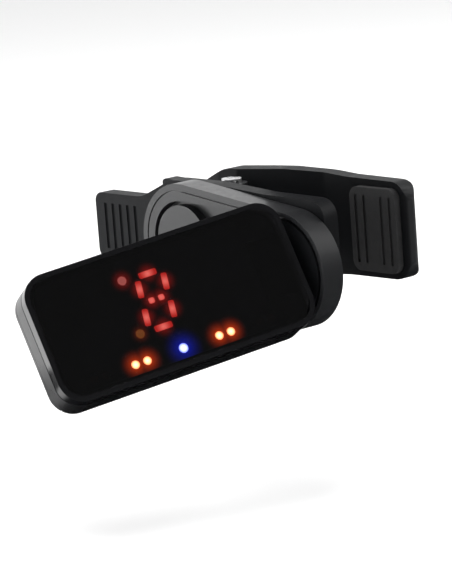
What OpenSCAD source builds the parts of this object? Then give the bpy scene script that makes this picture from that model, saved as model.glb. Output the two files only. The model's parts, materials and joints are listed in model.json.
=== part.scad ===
// Clip-on instrument tuner. The clamp's long direction is X, +Z is up across the clamp,
// and +Y points from the gripping face of the near pad into the headstock that it holds.
// The modules below are drawn with the headstock's face as their ground (z = 0).

/* [Clamp] */
// Thickness of the headstock between the pads
headstock_t = 15; // [12:1:17]
// Length of the clamp behind the centre of the pads
clamp_back = 57; // [52:1:64]
// Width of the clamp at its shoulder
clamp_w = 20.8; // [20:0.2:24]
// Width of the squeeze handles
handle_w = 13; // [11:0.5:15]
// Distance from the pads' centre back to the spring axle
axle_back = 28; // [26:0.5:30]
// Diameter of the spring axle
axle_d = 2.4; // [2:0.1:2.8]

/* [Arm] */
// Distance between the arm's two swivels
arm_reach = 27; // [25:0.5:30]
// Radius of the arm's round ends
arm_r = 11; // [10.6:0.1:12]
// Thickness of the arm
arm_t = 4.9; // [4.8:0.1:7]
// Turn of the arm on the clamp, as it is used
arm_turn = -7; // [-30:1:30]

/* [Display head] */
// Length of the head
head_l = 50; // [48:1:54]
// Width of the head, set by a 20 mm coin cell
head_w = 24; // [23.6:0.2:27]
// Thickness of the head
head_t = 8.6; // [8.6:0.1:10]
// Radius of the head's corners
head_r = 4.5; // [3:0.5:6]
// Turn of the head on the arm, as it is used
head_turn = 35; // [0:1:60]
// Tilt of the head from flat on the arm, as it is used
head_tilt = 69; // [0:1:88]

/* [Hidden] */
$fn = 64;
e = 0.01;             // overshoot of cuts
play = 0.05;          // radial play of every turning fit
gap = 0.3;            // free space between faces that slide past each other

// clamp
pad_t = 1.8;
pad_seat = 0.6;
pad = [12, 16];
lever_z = pad_t - pad_seat;
lever_t = 3.4;
lever_top = lever_z + lever_t;
tip_x = 7.5;
axle_z = -5.5;
ear_r = 3;
ear_near = [6.6, 8.6];
ear_far = [4.3, 6.3];
wire_d = 1.1;
coil_r = 3;
coil_turns = 6;
far_z = -headstock_t;

// arm
arm_z = lever_top + gap;
rim_z = arm_z + arm_t;
recess = 1.9;
floor_z = rim_z - recess;
recess_r = [7.7, 10.2];
groove_in = 1.2;
groove_w = 0.3;
groove_d = 0.3;
cap_gap = 0.8;
swivel_x = -26;
spigot_r = 4;
counter_r = 5.4;
counter_z = arm_z + 1.9;

// turntable and hinge
table_r = 9.5;
table_t = 1.6;
stem_r = 3;
hinge_h = 4.7;        // height of the tilt pin above the arm's rim
hinge_off = 2.2;      // its distance from the turntable's centre
lug_t = 4.8;
lug_w = 9;
pin_r = 1;

// head, in its own frame: origin on the tilt pin, x towards the hinge end, z out of the display
hinge_end = 4.3;
free_end = hinge_end - head_l;
back_z = -4.3;
face_z = back_z + head_t;
part_z = 1.6;
wall = 1.3;
lens_t = 1.2;
lens_z = face_z - lens_t;
edge = 0.9;           // bezel left around the lens
slot = [-2.8, 5, -5, 2.8, 9.6];
bay = [-44.4, -22.6];
works = [-21.4, -6];
door_t = 1.2;
door_w = 21;
cell_r = 10;
cell_t = 3.2;
cell_x = -33.4;
board_z = 0.8;
board_t = 0.7;
seam = 0.35;          // shadow line between the shells
screw_at = [[-2.6, 9.6], [-2.6, -9.6]];
boss_r = 1.2;
lights_v = 20.5;
middle_u = 24;
light_step = 8.2;
light_half = 1.15;
button_x = -13.5;
button_z = -1.1;
mask_back = 1.7;
led_t = 1.2;

// ---------------------------------------------------------------- outlines and placing

// points of an outline whose corners are rounded: corner i has radius r[i]
function arc_at(p, q, s, r, n = 6) =
    let (a = (p - q) / norm(p - q), b = (s - q) / norm(s - q),
         half = acos(a * b) / 2,
         c = q + (a + b) / norm(a + b) * r / sin(half),
         t = q + a * r / tan(half) - c,
         turn = (180 - 2 * half) * sign(a[0] * b[1] - a[1] * b[0]))
    [for (i = [0:n]) let (k = -turn * i / n)
        c + [t[0] * cos(k) - t[1] * sin(k), t[0] * sin(k) + t[1] * cos(k)]];
function rounded(pts, r) = let (n = len(pts))
    [for (i = [0:n - 1]) each arc_at(pts[(i + n - 1) % n], pts[i], pts[(i + 1) % n], r[i])];

module rounded_rect(l, w, r) {
    square([l - 2 * r, w], center = true);
    square([l, w - 2 * r], center = true);
    for (x = [-1, 1], y = [-1, 1]) translate([x * (l / 2 - r), y * (w / 2 - r)]) circle(r);
}
module slab(l, w, t, r) { linear_extrude(t) rounded_rect(l, w, r); }
module stadium(a, b, r) {
    translate([a, -r]) square([b - a, 2 * r]);
    for (x = [a, b]) translate([x, 0]) circle(r);
}
module across(r, y0, y1) { translate([0, y1, 0]) rotate([90, 0, 0]) cylinder(r = r, h = y1 - y0); }

module in_arm() { translate([swivel_x, 0, 0]) rotate([0, 0, arm_turn]) children(); }
module on_table() { in_arm() translate([arm_reach, 0, 0]) rotate([0, 0, head_turn]) children(); }
module in_head() {
    on_table() translate([hinge_off, 0, rim_z + hinge_h]) rotate([0, head_tilt, 0]) children();
}
module at_axle() { translate([-axle_back, 0, axle_z]) children(); }

// ---------------------------------------------------------------- clamp

lever_outline = rounded([
    [-clamp_back, -handle_w / 2], [-clamp_back + 14, -handle_w / 2], [-34, -clamp_w / 2],
    [-22, -clamp_w / 2], [-8, -9.4], [tip_x, -9.2],
    [tip_x, 9.2], [-8, 9.4], [-22, clamp_w / 2],
    [-34, clamp_w / 2], [-clamp_back + 14, handle_w / 2], [-clamp_back, handle_w / 2]],
    [1.8, 8, 6, 10, 10, 3.5, 3.5, 10, 10, 6, 8, 1.8]);

// finger grooves across a handle whose outer face runs from p to q (x and z)
module grip_grooves(p, q) {
    for (i = [0:4]) {
        x = p[0] + 3 + 2.2 * i;
        translate([x, 0, p[1] + (x - p[0]) * (q[1] - p[1]) / (q[0] - p[0])])
            across(0.45, -handle_w / 2 + 2, handle_w / 2 - 2);
    }
}

module near_lever() color("#1c1d20") difference() {
    union() {
        translate([0, 0, lever_z]) linear_extrude(lever_t) polygon(lever_outline);
        for (s = [-1, 1]) at_axle() {
            y = (ear_near[0] + ear_near[1]) / 2 * s;
            w = ear_near[1] - ear_near[0];
            translate([0, y, 0]) {
                across(ear_r, -w / 2, w / 2);
                translate([-ear_r, -w / 2, 0]) cube([2 * ear_r, w, lever_z - axle_z + 0.2]);
            }
        }
    }
    translate([0, 0, lever_z - e]) slab(pad[0] + 0.1, pad[1] + 0.1, pad_seat + e, 2);
    at_axle() across(axle_d / 2, -20, 20);
    translate([swivel_x, 0, lever_z - 1]) cylinder(r = spigot_r + play, h = lever_t + 2);
    grip_grooves([-clamp_back, lever_top + 0.1], [0, lever_top + 0.1]);
}

module pad_body() difference() {
    slab(pad[0], pad[1], pad_t, 2);
    for (x = [-4.4, -2.2, 2.2, 4.4]) translate([x, 0, -e]) slab(0.7, pad[1] - 3, 0.4 + e, 0.34);
}
module near_jaw_pad() color("#26282b") pad_body();

module clamp_pin() color("silver") at_axle() {
    across(axle_d / 2, -ear_near[1] - 0.8, ear_near[1] + 0.8);
    for (s = [-1, 1]) translate([0, s * (ear_near[1] + 0.45), 0]) across(axle_d / 2 + 0.7, -0.45, 0.45);
}

// side profile of the far lever, from the handle through the axle's cheeks to the jaw
far_handle = [[-clamp_back, -15.6], [-36, -12.4]];
jaw_back = far_z - 4.6;
far_side = rounded([
    [-clamp_back, -12.6], [-36, -9.2], [-31, -9.6], [-22, -13.5], [-14, far_z - 1.4],
    [tip_x, far_z - 1.2], [tip_x, jaw_back], [-14, jaw_back - 0.2],
    [-26, -16.4], far_handle[1], far_handle[0]],
    [0.8, 4, 2, 5, 3, 0.8, 1.6, 8, 8, 6, 1.4]);

module far_lever() color("#1c1d20") difference() {
    union() {
        intersection() {
            rotate([90, 0, 0]) translate([0, 0, -15]) linear_extrude(30) polygon(far_side);
            translate([0, 0, -40]) linear_extrude(60) polygon(lever_outline);
        }
        for (s = [-1, 1]) at_axle() {
            y = (ear_far[0] + ear_far[1]) / 2 * s;
            w = ear_far[1] - ear_far[0];
            translate([0, y, 0]) {
                across(ear_r - 0.4, -w / 2, w / 2);
                translate([-ear_r + 0.4, -w / 2, -6]) cube([2 * ear_r - 0.8, w, 6]);
            }
        }
    }
    translate([0, 0, far_z - pad_t]) slab(pad[0] + 0.1, pad[1] + 0.1, pad_seat + 1, 2);
    at_axle() across(axle_d / 2 + play, -20, 20);
    grip_grooves(far_handle[0], far_handle[1]);
    // shallow panel sunk into the back of the jaw
    translate([-3, 0, jaw_back - 1]) slab(15, 12, 1.4, 2.5);
}
module far_jaw_pad() color("#26282b") translate([0, 0, far_z]) mirror([0, 0, 1]) pad_body();

// closely wound torsion spring: its coil as one ridged ring, and a leg along each lever
module clamp_spring() color("silver") at_axle() {
    pitch = wire_d * 0.9;
    rotate([90, 0, 0]) rotate_extrude() {
        for (i = [0:coil_turns - 1])
            translate([coil_r, (i - (coil_turns - 1) / 2) * pitch]) circle(wire_d / 2, $fn = 24);
    }
    for (s = [-1, 1]) translate([0, s * (coil_turns - 1) / 2 * pitch, s * coil_r])
        rotate([0, s > 0 ? -86 : -90, 0]) cylinder(d = wire_d * 0.8, h = 12, $fn = 24);
}

// ---------------------------------------------------------------- arm

// outline of the recess: a circle at the clamp end that flares to a larger one at the other
module recess_outline() {
    r0 = recess_r[0];
    r1 = recess_r[1];
    lean = asin((r1 - r0) / arm_reach);
    polygon([for (s = [-1, 1], k = s < 0 ? [0, 1] : [1, 0])
        [k * arm_reach - (k == 0 ? r0 : r1) * sin(lean), s * (k == 0 ? r0 : r1) * cos(lean)]]);
    circle(r0);
    translate([arm_reach, 0]) circle(r1);
}

module arm_body() color("#4a4c50") in_arm() difference() {
    union() {
        translate([0, 0, arm_z]) linear_extrude(arm_t) stadium(0, arm_reach, arm_r);
        translate([0, 0, lever_z + 0.1]) cylinder(r = spigot_r, h = arm_z - lever_z);
    }
    translate([0, 0, floor_z]) linear_extrude(recess + 1) recess_outline();
    translate([0, 0, rim_z - groove_d]) linear_extrude(1) difference() {
        stadium(0, arm_reach, arm_r - groove_in);
        stadium(0, arm_reach, arm_r - groove_in - groove_w);
    }
    translate([0, 0, -1]) cylinder(r = 0.8, h = arm_z + 2);
    translate([0, 0, floor_z - 1]) cylinder(r = 1, h = 2);
    translate([arm_reach, 0, 0]) cylinder(r = stem_r + play, h = rim_z);
    translate([arm_reach, 0, arm_z - 1]) cylinder(r = counter_r, h = counter_z - arm_z + 1);
}
module arm_cap() color("#55585c") in_arm() {
    translate([0, 0, floor_z]) cylinder(r = recess_r[0] - cap_gap, h = recess - 0.1);
    translate([0, 0, floor_z - 0.9]) cylinder(r = 0.98, h = 1);
}
module swivel_washer() color("silver") in_arm() translate([0, 0, lever_z - 0.85]) difference() {
    cylinder(r = 5.6, h = 0.8);
    translate([0, 0, -1]) cylinder(r = 1, h = 3);
}
module swivel_screw() color("gray") in_arm() {
    translate([0, 0, lever_z - 0.9]) cylinder(r = 0.79, h = 5);
    translate([0, 0, lever_z - 1.75]) cross_head(2.1, 0.9);
}
module cross_head(r, t) difference() {
    cylinder(r = r, h = t);
    for (a = [0, 90]) rotate([0, 0, a]) translate([-r * 0.55, -0.2, -e]) cube([r * 1.1, 0.4, t * 0.5]);
}

// ---------------------------------------------------------------- turntable and hinge

module hinge_base() color("#1c1d20") on_table() difference() {
    union() {
        translate([0, 0, floor_z + 0.15]) cylinder(r = table_r, h = table_t);
        translate([0, 0, counter_z + 0.05]) cylinder(r = stem_r, h = floor_z - counter_z + 0.2);
        translate([hinge_off - lug_t / 2, -lug_w / 2, floor_z + 1])
            cube([lug_t, lug_w, rim_z + hinge_h - floor_z - 1]);
        translate([hinge_off, 0, rim_z + hinge_h]) across(lug_t / 2, -lug_w / 2, lug_w / 2);
    }
    translate([hinge_off, 0, rim_z + hinge_h]) across(pin_r + play, -lug_w, lug_w);
    cylinder(r = 0.8, h = rim_z - 0.6);
}
module turntable_washer() color("silver") on_table() translate([0, 0, counter_z - 0.75]) difference() {
    cylinder(r = 4.6, h = 0.7);
    translate([0, 0, -1]) cylinder(r = 1, h = 3);
}
module turntable_screw() color("gray") on_table() {
    translate([0, 0, counter_z - 0.8]) cylinder(r = 0.79, h = 3.1);
    translate([0, 0, counter_z - 1.55]) cross_head(2, 0.8);
}

// ---------------------------------------------------------------- display head

module head_outline(inset = 0) {
    translate([(free_end + hinge_end) / 2, 0])
        rounded_rect(head_l - 2 * inset, head_w - 2 * inset, head_r - inset * 0.8);
}
module head_block(z0, z1, inset = 0) { translate([0, 0, z0]) linear_extrude(z1 - z0) head_outline(inset); }
module room(x0, x1, y, z0, z1) { translate([x0, -y, z0]) cube([x1 - x0, 2 * y, z1 - z0]); }
module hinge_slot() { room(slot[0], slot[1], slot[4] / 2, slot[2], slot[3]); }

module rear_shell() color("#17181b") in_head() difference() {
    head_block(back_z, part_z);
    // shadow line where the two shells meet
    difference() {
        head_block(part_z - seam, part_z + 1, -1);
        head_block(part_z - seam - 1, part_z + 2, seam);
    }
    // the hinge end is rounded about the tilt pin at the back
    difference() {
        room(0, 6, head_w, back_z - 1, 0);
        across(hinge_end, -20, 20);
    }
    // battery bay, works and the door's way
    room(bay[0], bay[1], 10.3, -3.2, part_z + 1);
    room(works[0], works[1], 10.7, back_z + 1.2, part_z + 1);
    room(bay[0], works[1], 10.4, board_z, part_z + 1);
    intersection() {
        room(-60, bay[1], door_w / 2 + 0.15, back_z - 1, back_z + door_t + 0.1);
        head_block(back_z - 1, part_z, -1);
    }
    room(-60, bay[1], door_w / 2 + 0.75, back_z + 0.35, back_z + 0.95);
    hinge_slot();
    across(pin_r, -8, 20);
    for (p = screw_at) translate([p[0], p[1], back_z - 1]) {
        cylinder(r = 0.85, h = 20);
        cylinder(r = 1.7, h = 2.2);
    }
    translate([button_x, head_w / 2 - 3, button_z]) rotate([-90, 0, 0]) slab(9.2, 2.8, 6, 1.39);
}
module head_screw() {
    translate([0, 0, 0.3]) cylinder(r = 0.8, h = 6.6);
    translate([0, 0, 0.3]) cross_head(1.6, 0.85);
}
module shell_screws() color("gray") in_head()
    for (p = screw_at) translate([p[0], p[1], back_z]) head_screw();

module front_bezel() color("#101114") in_head() difference() {
    head_block(part_z, face_z);
    head_block(lens_z, face_z + 1, edge);
    difference() {
        head_block(part_z - 1, lens_z + e, wall + 0.3);
        room(-3.4, 10, slot[4] / 2 + 0.6, part_z - 1, lens_z + 1);
        for (p = screw_at) translate([p[0], p[1], 0]) cylinder(r = boss_r, h = 5);
    }
    hinge_slot();
    for (p = screw_at) translate([p[0], p[1], 0]) cylinder(r = 0.81, h = 2.8);
}
module display_lens() color("#0b0c10") in_head() head_block(lens_z + 0.02, face_z - 0.05, edge + 0.08);

// positions on the display: u along it from the free end, v down from its upper edge
function at_face(u, v) = [free_end + u, head_w / 2 - v];
slant = 9;
module bar(u, v, l, w, turn, grow) {
    translate(at_face(u, v)) rotate([0, 0, turn]) rounded_rect(l + grow, w + grow, 0.3);
}
module note_bars(grow = 0) {
    for (p = [[23.1, 5.8], [22.1, 15.7]]) bar(p[0], p[1], 3.4, 1.1, 0, grow);
    for (p = [[20.6, 8.1], [25.6, 8.1], [19.8, 13.2], [24.9, 13.2]])
        bar(p[0], p[1], 1.1, 3.1, -slant, grow);
    for (p = [[21.9, 10.6], [23.8, 10.6]]) bar(p[0], p[1], 1.1, 1, 0, grow);
}
module dot(u, v, r, grow) { translate(at_face(u, v)) circle(r + grow / 2); }
module mark_dots(grow = 0) { for (p = [[18.2, 5.6], [17.6, 15.6]]) dot(p[0], p[1], 0.8, grow); }
module pair(u, grow) { for (s = [-1, 1]) dot(u + s * light_half, lights_v, 0.75, grow); }
module lit_pairs(grow = 0) { for (s = [-1, 1]) pair(middle_u + s * light_step, grow); }
module unlit_pairs(grow = 0) { for (s = [-1, 1]) pair(middle_u + s * (2 * light_step - 0.2), grow); }
module centre_dot(grow = 0) { dot(middle_u, lights_v, 0.85, grow); }

module led_mask() color("#0d0d10") in_head() difference() {
    head_block(mask_back, lens_z - 0.03, wall + 0.45);
    room(-3.6, 10, slot[4] / 2 + 0.8, 0, 5);
    for (p = screw_at) translate([p[0], p[1], 0]) cylinder(r = boss_r + 0.1, h = 5);
    translate([0, 0, mask_back - 1]) linear_extrude(5) {
        note_bars(0.1);
        mark_dots(0.1);
        lit_pairs(0.1);
        unlit_pairs(0.1);
        centre_dot(0.1);
    }
}
module light_solid() { in_head() translate([0, 0, mask_back + 0.02]) linear_extrude(led_t) children(); }
module note_segments() color("#ff4030") light_solid() note_bars();
module note_marks() color("#ff7060") light_solid() mark_dots();
module tuning_lights() color("#ff9020") light_solid() lit_pairs();
module tuning_lights_unlit() color("#3a2a20") light_solid() unlit_pairs();
module centre_light() color("#3060ff") light_solid() centre_dot();

module circuit_board() color("#14401f") in_head()
    room(bay[0] + 0.2, works[1] - 0.2, 10.2, board_z + 0.05, board_z + board_t);
module controller_chip() color("#202020") in_head() room(-19.5, -14.5, 2.5, board_z - 1, board_z + 0.05);
module piezo_sensor() color("gold") in_head() translate([-13.6, 0, back_z + 1.22]) {
    cylinder(r = 6, h = 0.25);
    translate([0, 0, 0.25]) cylinder(r = 4, h = 0.2);
}
module battery_cell() color("silver") in_head() translate([cell_x, 0, -2.95]) {
    cylinder(r = cell_r, h = cell_t - 0.5);
    translate([0, 0, cell_t - 0.5]) cylinder(r = cell_r - 1.2, h = 0.5);
}
module battery_contact_negative() color("gold") in_head() translate([cell_x, 0, 0]) {
    room(-5, 5, 1.5, 0.27, 0.47);
    room(4.6, 5, 1.5, 0.47, board_z + 0.05);
}
module battery_contact_positive() color("gold") in_head() {
    room(-23.2, -22.9, 2.5, -2.4, board_z + 0.05);
}
module tilt_pin() color("silver") in_head() across(pin_r - 0.005, -7.8, head_w / 2 - 0.6);

module tact_switch() color("#303030") in_head() {
    translate([button_x - 3, 6.4, button_z - 1.4]) cube([6, 2.6, board_z + 0.05 - button_z + 1.4]);
    translate([button_x, 9, button_z]) rotate([-90, 0, 0]) cylinder(r = 0.7, h = 0.4);
}
module power_button() color("#2a2b2e") in_head() translate([button_x, 0, button_z]) {
    translate([0, 10.2, 0]) rotate([-90, 0, 0]) slab(8.6, 2.2, head_w / 2 + 0.7 - 10.2, 1.09);
}
module battery_door() color("#1a1b1e") in_head() difference() {
    intersection() {
        union() {
            room(free_end, bay[1] - 0.1, door_w / 2, back_z, back_z + door_t);
            room(free_end + 1, bay[1] - 0.1, door_w / 2 + 0.6, back_z + 0.4, back_z + 0.9);
        }
        head_block(back_z, part_z);
    }
    // thumb grooves for sliding it off
    for (i = [0:3]) translate([free_end + 4 + 1.6 * i, 0, back_z - 0.1]) across(0.45, -5, 5);
}

// the headstock's face is turned from the ground to stand across +Y
module upright() { rotate([90, 0, 0]) children(); }

upright() near_lever();
upright() near_jaw_pad();
upright() clamp_pin();
upright() far_lever();
upright() far_jaw_pad();
upright() clamp_spring();
upright() arm_body();
upright() arm_cap();
upright() swivel_screw();
upright() swivel_washer();
upright() hinge_base();
upright() turntable_screw();
upright() turntable_washer();
upright() rear_shell();
upright() front_bezel();
upright() display_lens();
upright() led_mask();
upright() note_segments();
upright() note_marks();
upright() tuning_lights();
upright() tuning_lights_unlit();
upright() centre_light();
upright() circuit_board();
upright() controller_chip();
upright() piezo_sensor();
upright() battery_cell();
upright() battery_contact_positive();
upright() battery_contact_negative();
upright() shell_screws();
upright() tilt_pin();
upright() tact_switch();
upright() power_button();
upright() battery_door();
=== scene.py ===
"""Looks of a clip-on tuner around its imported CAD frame: camera, surfaces, spring and studio."""

import json
import math

import bmesh
import bpy
from mathutils import Matrix, Vector


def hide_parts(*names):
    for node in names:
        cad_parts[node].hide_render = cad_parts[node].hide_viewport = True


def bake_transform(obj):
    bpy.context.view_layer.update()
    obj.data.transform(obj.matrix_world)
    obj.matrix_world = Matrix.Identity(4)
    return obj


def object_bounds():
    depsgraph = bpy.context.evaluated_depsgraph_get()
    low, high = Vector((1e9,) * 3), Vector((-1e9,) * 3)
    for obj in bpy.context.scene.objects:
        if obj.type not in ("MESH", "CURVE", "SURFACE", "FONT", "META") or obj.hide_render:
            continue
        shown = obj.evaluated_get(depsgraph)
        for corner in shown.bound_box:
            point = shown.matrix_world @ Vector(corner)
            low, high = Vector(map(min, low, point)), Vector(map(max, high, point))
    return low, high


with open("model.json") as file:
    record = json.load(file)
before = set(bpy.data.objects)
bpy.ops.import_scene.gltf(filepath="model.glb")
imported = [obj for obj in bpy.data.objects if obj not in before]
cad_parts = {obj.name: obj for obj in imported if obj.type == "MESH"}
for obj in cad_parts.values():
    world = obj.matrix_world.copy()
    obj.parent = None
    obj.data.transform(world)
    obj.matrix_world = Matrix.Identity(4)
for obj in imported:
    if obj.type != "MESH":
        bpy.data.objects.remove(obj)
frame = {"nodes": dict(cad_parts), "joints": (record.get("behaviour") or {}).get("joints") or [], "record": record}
cad_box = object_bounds()
nodes = frame["nodes"]
MM = 0.001

# ---------------------------------------------------------------- places read from the frame

low, high = (Vector(c) for c in cad_box)
centre = (low + high) / 2
hinges = {j["name"]: j for j in frame["joints"]}
tilt_at = Vector(hinges["tilt"]["pos_m"])
across = Vector(hinges["tilt"]["axis"])
up_face = -Vector(hinges["door_slide"]["axis"])
out_face = up_face.cross(across)
HEAD = Matrix((up_face, across, out_face)).transposed().to_4x4()
HEAD.translation = tilt_at

# ---------------------------------------------------------------- camera

EYE = Vector((0.3954, -0.3717, 0.0989))
EYE_UP = Vector((-0.123, 0.2095, 0.970))
LENS = 240
AIM_RIGHT, AIM_UP = 0.0125, -0.002
look = (centre - EYE).normalized()
side = look.cross(EYE_UP).normalized()
look = (centre + AIM_RIGHT * side + AIM_UP * side.cross(look) - EYE).normalized()
side = look.cross(EYE_UP).normalized()
camera = bpy.data.objects.new("camera", bpy.data.cameras.new("camera"))
bpy.context.scene.collection.objects.link(camera)
camera.matrix_world = Matrix.Translation(EYE) @ Matrix(
    (side, side.cross(look), -look)
).transposed().to_4x4()
camera.data.sensor_fit = "HORIZONTAL"
camera.data.sensor_width = 36
camera.data.lens = LENS
camera.data.clip_start = 0.01
bpy.context.scene.camera = camera

# ---------------------------------------------------------------- node helpers


class Surface:
    """A node material under construction: its tree, its shader and short ways to add nodes."""

    def __init__(self, name, color, roughness, **sockets):
        self.material = bpy.data.materials.new(name)
        self.material.use_nodes = True
        self.tree = self.material.node_tree
        self.shader = self.tree.nodes["Principled BSDF"]
        self.place = self.node("ShaderNodeTexCoord").outputs["Object"]
        self.set("Base Color", (*color, 1))
        self.set("Roughness", roughness)
        for socket, value in sockets.items():
            self.set(socket.replace("_", " "), value)

    def node(self, kind, **values):
        made = self.tree.nodes.new(kind)
        for name, value in values.items():
            setattr(made, name, value)
        return made

    def set(self, socket, value):
        self.shader.inputs[socket].default_value = value

    def link(self, output, target):
        self.tree.links.new(output, target)

    def noise(self, size_mm, detail=3, roughness=0.5, stretch=None):
        made = self.node("ShaderNodeTexNoise")
        made.inputs["Scale"].default_value = 1 / (size_mm * MM)
        made.inputs["Detail"].default_value = detail
        made.inputs["Roughness"].default_value = roughness
        source = self.place
        if stretch:
            shape = self.node("ShaderNodeMapping")
            shape.inputs["Scale"].default_value = stretch
            self.link(source, shape.inputs["Vector"])
            source = shape.outputs["Vector"]
        self.link(source, made.inputs["Vector"])
        return made.outputs["Fac"]

    def span(self, source, low_out, high_out, low_in=0.3, high_in=0.7):
        made = self.node("ShaderNodeMapRange")
        for socket, value in zip(
            ("From Min", "From Max", "To Min", "To Max"), (low_in, high_in, low_out, high_out)
        ):
            made.inputs[socket].default_value = value
        self.link(source, made.inputs["Value"])
        return made.outputs["Result"]

    def blend(self, source, first, second):
        made = self.node("ShaderNodeMix", data_type="RGBA")
        made.inputs["A"].default_value = (*first, 1)
        made.inputs["B"].default_value = (*second, 1)
        self.link(source, made.inputs["Factor"])
        return made.outputs["Result"]

    def quiet(self, level):
        """Specular level of a surface whose skin barely reflects."""
        self.set("Specular IOR Level", level)
        return self

    def bump(self, source, depth_mm, strength=1.0, after=None):
        made = self.node("ShaderNodeBump")
        made.inputs["Strength"].default_value = strength
        made.inputs["Distance"].default_value = depth_mm * MM
        self.link(source, made.inputs["Height"])
        if after:
            self.link(after, made.inputs["Normal"])
        self.link(made.outputs["Normal"], self.shader.inputs["Normal"])
        return made.outputs["Normal"]


def moulded(name, color, roughness, grain_mm, depth_mm, worn, gloss=0.0, level=0.5, wear=0.06):
    """Moulded plastic: fine spark-eroded grain, scuffs by wear and colour that varies a little."""
    made = Surface(name, color, roughness, IOR=1.48, Coat_Weight=gloss, Coat_Roughness=0.12)
    made.quiet(level)
    cloud = made.noise(9, 4)
    made.link(made.blend(cloud, color, worn), made.shader.inputs["Base Color"])
    scuffs = made.noise(1.6, 8, 0.7)
    made.link(
        made.span(scuffs, roughness - wear, roughness + wear), made.shader.inputs["Roughness"]
    )
    made.bump(made.noise(grain_mm, 2), depth_mm)
    return made.material


def polished(name, color, roughness, **sockets):
    """High-gloss plastic: hairline scratches and faint finger haze over a mirror-like skin."""
    made = Surface(name, color, roughness, IOR=1.5, **sockets)
    haze = made.noise(7, 5, 0.6)
    made.link(made.span(haze, roughness, roughness + 0.05), made.shader.inputs["Roughness"])
    hair = made.noise(0.5, 2, 0.5, stretch=(1, 0.03, 0.2))
    made.bump(hair, 0.001, 0.25)
    return made


def metal(name, color, roughness, stretch, grain_mm=0.25, depth_mm=0.002):
    """Plated or drawn metal with grain along one direction and a few dull patches."""
    made = Surface(name, color, roughness, Metallic=1.0)
    made.link(
        made.span(made.noise(2.5, 5, 0.6), roughness - 0.06, roughness + 0.1),
        made.shader.inputs["Roughness"],
    )
    made.bump(made.noise(grain_mm, 3, 0.5, stretch), depth_mm, 0.5)
    return made.material


RIM_GLOW = 0.45


def light_pipe(name, edge, core, power, at, reach_mm):
    """A lit diffuser, hottest at the middles that at lists and faded out reach_mm from them."""
    made = Surface(name, edge, 0.3)
    near = None
    for middle in at:
        away = made.node("ShaderNodeVectorMath", operation="DISTANCE")
        away.inputs[1].default_value = middle
        made.link(made.place, away.inputs[0])
        if near is None:
            near = away.outputs["Value"]
            continue
        least = made.node("ShaderNodeMath", operation="MINIMUM")
        made.link(near, least.inputs[0])
        made.link(away.outputs["Value"], least.inputs[1])
        near = least.outputs["Value"]
    heat = made.span(near, 1.0, 0.0, 0.0, reach_mm * MM)
    made.link(made.blend(heat, edge, core), made.shader.inputs["Emission Color"])
    made.link(made.span(heat, power * RIM_GLOW, power, 0, 1), made.shader.inputs["Emission Strength"])
    return made.material


# ---------------------------------------------------------------- lights of the display

HEAD_W, FREE_END = 24, -45.7
MIDDLE_U, LIGHTS_V, LIGHT_STEP, LIGHT_HALF = 24, 20.5, 8.2, 1.15


def on_face(u, v, z=3.0):
    """A point of the display, u from its free end and v from its upper edge, in millimetres."""
    return HEAD @ Vector(((FREE_END + u) * MM, (HEAD_W / 2 - v) * MM, z * MM))


def pair_at(u):
    return [on_face(u + s * LIGHT_HALF, LIGHTS_V) for s in (-1, 1)]


LIT = pair_at(MIDDLE_U - LIGHT_STEP) + pair_at(MIDDLE_U + LIGHT_STEP)
BARS = [on_face(u, v) for u, v in (
    (23.1, 5.8), (22.1, 15.7), (20.6, 8.1), (25.6, 8.1), (19.8, 13.2), (24.9, 13.2),
    (21.9, 10.6), (23.8, 10.6),
)]
DOTS = [on_face(18.2, 5.6)]
FLAT = [on_face(17.6, 15.6)]
CENTRE = [on_face(MIDDLE_U, LIGHTS_V)]

# ---------------------------------------------------------------- materials by slot

CHARCOAL, CHARCOAL_WORN = (0.006, 0.0065, 0.0075), (0.009, 0.0095, 0.0105)
SATIN, SATIN_WORN = (0.015, 0.0155, 0.017), (0.019, 0.0195, 0.021)
JET, JET_WORN = (0.006, 0.006, 0.007), (0.010, 0.010, 0.011)


def smoked_lens():
    """Smoked window: dark clear plastic whose polished front carries faint haze and hairlines."""
    made = polished("smoked_lens", (0.20, 0.20, 0.22), 0.04, Transmission_Weight=1.0)
    made.set("IOR", 1.49)
    return made.material


# core and falloff of the glow painted on the display mask around the lights
PAINTED_GLOW_CORE, PAINTED_GLOW_FALL = 0.4, 2.6


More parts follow.
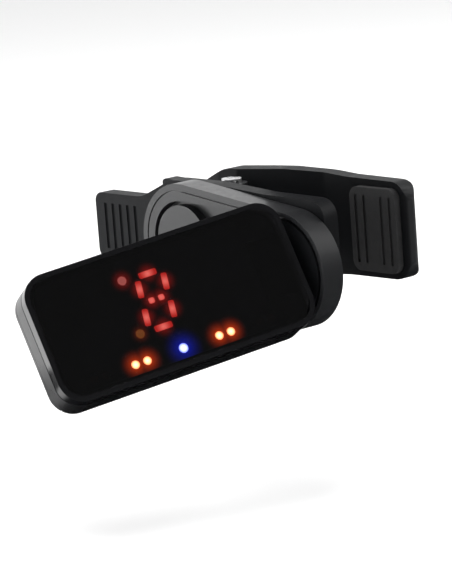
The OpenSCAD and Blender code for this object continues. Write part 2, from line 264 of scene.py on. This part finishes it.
def display_mask():
    """Printed black behind the window, with painted glow: emission painted round each light stands in for the
    light that it throws on the mask.
    """
    made = Surface("display_mask", (0.004, 0.004, 0.005), 0.55)
    made.bump(made.noise(0.12, 2), 0.004)
    painted_glow_total = None
    # painted glow: each group gets emission in its colour on the mask, strongest next to its lights and fading out
    # by reach millimetres
    for group, color, reach, power in (
        (BARS + DOTS, (1.0, 0.02, 0.01), 2.6, 0.9),
        (FLAT, (1.0, 0.10, 0.01), 2.2, 0.5),
        (LIT, (1.0, 0.07, 0.004), 3.2, 2.6),
        (CENTRE, (0.01, 0.03, 1.0), 4.2, 1.6),
    ):
        near = None
        for middle in group:
            away = made.node("ShaderNodeVectorMath", operation="DISTANCE")
            away.inputs[1].default_value = middle
            made.link(made.place, away.inputs[0])
            fade = made.span(away.outputs["Value"], 1.0, 0.0, PAINTED_GLOW_CORE * MM, reach * MM)
            if near is None:
                near = fade
                continue
            most = made.node("ShaderNodeMath", operation="MAXIMUM")
            made.link(near, most.inputs[0])
            made.link(fade, most.inputs[1])
            near = most.outputs["Value"]
        curve = made.node("ShaderNodeMath", operation="POWER")
        curve.inputs[1].default_value = PAINTED_GLOW_FALL
        made.link(near, curve.inputs[0])
        painted_glow = made.blend(curve.outputs["Value"], (0, 0, 0), tuple(c * power for c in color))
        if painted_glow_total is None:
            painted_glow_total = painted_glow
            continue
        add = made.node("ShaderNodeMix", data_type="RGBA", blend_type="ADD")
        add.inputs["Factor"].default_value = 1
        made.link(painted_glow_total, add.inputs["A"])
        made.link(painted_glow, add.inputs["B"])
        painted_glow_total = add.outputs["Result"]
    made.link(painted_glow_total, made.shader.inputs["Emission Color"])
    made.set("Emission Strength", 1.0)
    return made.material


def marks():
    """The two small marks beside the note: the upper is lit pale red, the lower dim amber."""
    made = Surface("pale_red_led", (0.6, 0.1, 0.06), 0.3)
    away = made.node("ShaderNodeVectorMath", operation="DISTANCE")
    away.inputs[1].default_value = FLAT[0]
    made.link(made.place, away.inputs[0])
    upper = made.span(away.outputs["Value"], 0.0, 1.0, 2 * MM, 3 * MM)
    made.link(
        made.blend(upper, (0.75, 0.22, 0.04), (1.0, 0.22, 0.18)),
        made.shader.inputs["Emission Color"],
    )
    made.link(made.span(upper, 0.9, 1.6, 0, 1), made.shader.inputs["Emission Strength"])
    return made.material


def circuit_green():
    """Solder mask over copper tracks, seen as faint lines of another height and shade."""
    made = Surface("board_green", (0.02, 0.11, 0.05), 0.35)
    tracks = made.node("ShaderNodeTexBrick")
    tracks.inputs["Scale"].default_value = 400
    made.link(made.place, tracks.inputs["Vector"])
    made.link(
        made.blend(tracks.outputs["Fac"], (0.02, 0.11, 0.05), (0.03, 0.17, 0.07)),
        made.shader.inputs["Base Color"],
    )
    made.bump(tracks.outputs["Fac"], 0.03)
    return made.material


MATERIALS = {
    "charcoal_plastic": moulded(
        "charcoal_plastic", CHARCOAL, 0.5, 0.22, 0.02, CHARCOAL_WORN, level=0.08
    ),
    "pad_rubber": moulded("pad_rubber", (0.02, 0.02, 0.021), 0.8, 0.35, 0.03, (0.03, 0.03, 0.031)),
    "steel": metal("steel", (0.60, 0.60, 0.61), 0.28, (1, 1, 0.1)),
    "spring_steel": metal("spring_steel", (0.50, 0.50, 0.51), 0.32, (0.2, 1, 0.2)),
    "satin_black_plastic": moulded(
        "satin_black_plastic", SATIN, 0.36, 0.3, 0.004, SATIN_WORN, gloss=0.2, level=0.3
    ),
    "head_plastic": moulded(
        "head_plastic", JET, 0.28, 0.5, 0.001, JET_WORN, level=0.35, wear=0.012
    ),
    "gloss_black_plastic": polished("gloss_black_plastic", JET, 0.10).material,
    "smoked_lens": smoked_lens(),
    "display_mask": display_mask(),
    "red_led": light_pipe("red_led", (1.0, 0.035, 0.025), (1.0, 0.20, 0.15), 4.2, BARS, 1.4),
    "pale_red_led": marks(),
    "amber_led": light_pipe("amber_led", (1.0, 0.16, 0.015), (1.0, 0.72, 0.36), 16, LIT, 1.0),
    "unlit_led": moulded("unlit_led", (0.03, 0.012, 0.006), 0.4, 0.3, 0.01, (0.04, 0.016, 0.008)),
    "blue_led": light_pipe("blue_led", (0.05, 0.10, 1.0), (0.85, 0.92, 1.0), 14, CENTRE, 1.1),
    "board_green": circuit_green(),
    "chip_black": moulded("chip_black", (0.02, 0.02, 0.02), 0.6, 0.2, 0.02, (0.03, 0.03, 0.03)),
    "contact_brass": metal("contact_brass", (0.72, 0.55, 0.28), 0.3, (1, 0.1, 1)),
    "cell_steel": metal("cell_steel", (0.66, 0.66, 0.65), 0.36, (0.1, 1, 0.1), 0.8, 0.0002),
}

# ---------------------------------------------------------------- CAD nodes: surfaces and edges

EDGES = {
    "near_lever": 0.5, "far_lever": 0.5, "near_jaw_pad": 0.25, "far_jaw_pad": 0.25,
    "clamp_pin": 0.2, "arm_body": 0.22, "arm_cap": 0.25, "hinge_base": 0.3, "rear_shell": 0.35,
    "front_bezel": 0.42, "display_lens": 0.2, "battery_door": 0.15, "power_button": 0.25,
    "swivel_screw": 0.12, "turntable_screw": 0.12, "shell_screws": 0.12, "swivel_washer": 0.1,
    "turntable_washer": 0.1, "battery_cell": 0.15, "tilt_pin": 0.1,
}


SHARP_ANGLE = math.radians(38)
WELD_DISTANCE = 1e-6
SMALL_EDGE = 0.05


def soften(obj, width_mm):
    """Welds a CAD mesh and rounds its sharp edges by width_mm, leaving flat faces flat."""
    weld = obj.modifiers.new("weld", "WELD")
    weld.merge_threshold = WELD_DISTANCE
    bevel = obj.modifiers.new("edges", "BEVEL")
    bevel.width = width_mm * MM
    bevel.segments = 3
    bevel.limit_method = "ANGLE"
    bevel.angle_limit = SHARP_ANGLE
    bevel.harden_normals = False
    even = obj.modifiers.new("even", "WEIGHTED_NORMAL")
    even.keep_sharp = False
    for face in obj.data.polygons:
        face.use_smooth = True


for part in frame["record"]["subparts"]:
    node = nodes[part["node"]]
    node.data.materials.clear()
    node.data.materials.append(MATERIALS[part["material_slot"]])
    soften(node, EDGES.get(part["node"], SMALL_EDGE))

# ---------------------------------------------------------------- clamp spring, really wound

AXLE = Vector(hinges["squeeze"]["pos_m"])
COIL_R, WIRE_R, COIL_HALF = 3.0, 0.44, 2.475
TURNS, STEPS, LEG = 5.5, 30, 12
NEAR_LEG_RISE = 0.84


def on_coil(angle):
    """A point of the wire's middle line: angle 0 is at the near leg's root."""
    return AXLE + MM * Vector((
        COIL_R * math.sin(angle),
        -COIL_R * math.cos(angle),
        COIL_HALF * (1 - angle / (math.pi * TURNS)),
    ))


def wound_spring():
    """One wire from leg to leg, whose coil shares the turn between the two levers out evenly."""
    last = 2 * math.pi * TURNS
    steps = int(TURNS * STEPS)
    coil = [on_coil(last * i / steps) for i in range(steps + 1)]
    near_end = coil[0] + MM * Vector((-LEG, -NEAR_LEG_RISE, 0))
    far_end = coil[-1] + MM * Vector((-LEG, 0, 0))
    points = [near_end, *coil, far_end]
    curve = bpy.data.curves.new("spring_wire", "CURVE")
    curve.dimensions = "3D"
    curve.bevel_depth = WIRE_R * MM
    curve.bevel_resolution = 4
    curve.use_fill_caps = True
    line = curve.splines.new("POLY")
    line.points.add(len(points) - 1)
    for spot, point in zip(line.points, points):
        spot.co = (*point, 1)
    drawn = bpy.data.objects.new("spring_curve", curve)
    mesh = bpy.data.meshes.new_from_object(drawn)
    bpy.data.objects.remove(drawn)
    for face in mesh.polygons:
        face.use_smooth = True
    mesh.materials.clear()
    mesh.materials.append(MATERIALS["spring_steel"])
    spring = bpy.data.objects.new("spring_wire", mesh)
    bpy.context.scene.collection.objects.link(spring)
    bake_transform(spring)
    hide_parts("clamp_spring")


wound_spring()

# ---------------------------------------------------------------- studio


DARK_WAY = (0.785, 0.056, 0.611)
FADE_FROM, FADE_TO = 0.45, 0.80
WORLD_WHITE, WORLD_DARK = 1.25, 0.10


def studio_world():
    """White all round with one broad dark side, which the display's face reflects."""
    world = bpy.data.worlds.new("studio")
    bpy.context.scene.world = world
    world.use_nodes = True
    tree = world.node_tree
    back = tree.nodes["Background"]
    place = tree.nodes.new("ShaderNodeTexCoord")
    dot = tree.nodes.new("ShaderNodeVectorMath")
    dot.operation = "DOT_PRODUCT"
    dot.inputs[1].default_value = DARK_WAY
    tree.links.new(place.outputs["Generated"], dot.inputs[0])
    fade = tree.nodes.new("ShaderNodeMapRange")
    fade.interpolation_type = "SMOOTHSTEP"
    fade.inputs["From Min"].default_value = FADE_FROM
    fade.inputs["From Max"].default_value = FADE_TO
    fade.inputs["To Min"].default_value = WORLD_WHITE
    fade.inputs["To Max"].default_value = WORLD_DARK
    tree.links.new(dot.outputs["Value"], fade.inputs["Value"])
    seen = tree.nodes.new("ShaderNodeLightPath")
    either = tree.nodes.new("ShaderNodeMath")
    either.operation = "MAXIMUM"
    tree.links.new(fade.outputs["Result"], either.inputs[0])
    tree.links.new(seen.outputs["Is Camera Ray"], either.inputs[1])
    back.inputs["Color"].default_value = (1, 1, 1, 1)
    tree.links.new(either.outputs["Value"], back.inputs["Strength"])


def area_light(name, place, size, power, aim=centre):
    lamp = bpy.data.lights.new(name, "AREA")
    lamp.shape = "DISK"
    lamp.size = size
    lamp.energy = power
    made = bpy.data.objects.new(name, lamp)
    made.matrix_world = Matrix.Translation(place) @ (aim - place).to_track_quat(
        "-Z", "Y"
    ).to_matrix().to_4x4()
    bpy.context.scene.collection.objects.link(made)
    made.visible_camera = False


def black_card(name, place, facing, size):
    """A black card that only reflections see, like a studio flag that casts no shade: it paints dark reflections
    on the parts facing it.
    """
    mesh = bpy.data.meshes.new(name)
    shape = bmesh.new()
    bmesh.ops.create_grid(shape, x_segments=1, y_segments=1, size=size / 2)
    shape.to_mesh(mesh)
    shape.free()
    card = bpy.data.objects.new(name, mesh)
    card.matrix_world = Matrix.Translation(place) @ Vector(facing).to_track_quat(
        "Z", "Y"
    ).to_matrix().to_4x4()
    bpy.context.scene.collection.objects.link(card)
    mesh.materials.append(Surface(name, (0.002, 0.002, 0.002), 1.0).quiet(0).material)
    for ray in ("camera", "diffuse", "shadow", "transmission"):
        setattr(card, "visible_" + ray, False)


bpy.context.scene.view_settings.view_transform = "Standard"
studio_world()
area_light("left_box", centre + Vector((-0.42, -0.42, -0.08)), 0.5, 4.5)
area_light("top_box", centre + Vector((-0.15, 0.05, 0.6)), 0.4, 2)
area_light("rear_box", centre + Vector((0.2, 0.5, 0.3)), 0.4, 3)

FLOOR_DROP, FLOOR_RADIUS, CARD_LIFT = 0.02, 3, 0.001
floor_z = low.z - FLOOR_DROP
# painted reflections: one card lies under the head, and one stands where the headstock would; each darkens what
# the parts facing it reflect
black_card("painted_reflection_below", Vector((-0.030, 0.010, floor_z + CARD_LIFT)), (0, 0, 1), 0.13)
black_card("painted_reflection_right", Vector((0.045, 0.008, 0)), (0, -1, 0), 0.13)
mesh = bpy.data.meshes.new("floor")
shape = bmesh.new()
bmesh.ops.create_circle(shape, cap_ends=True, segments=96, radius=FLOOR_RADIUS)
shape.to_mesh(mesh)
shape.free()
floor = bpy.data.objects.new("floor", mesh)
floor.location = (centre.x, centre.y, floor_z)
bpy.context.scene.collection.objects.link(floor)
paper = Surface("floor", (0.93, 0.93, 0.93), 0.7)
paper.bump(paper.noise(3, 4), 0.02)
mesh.materials.append(paper.material)
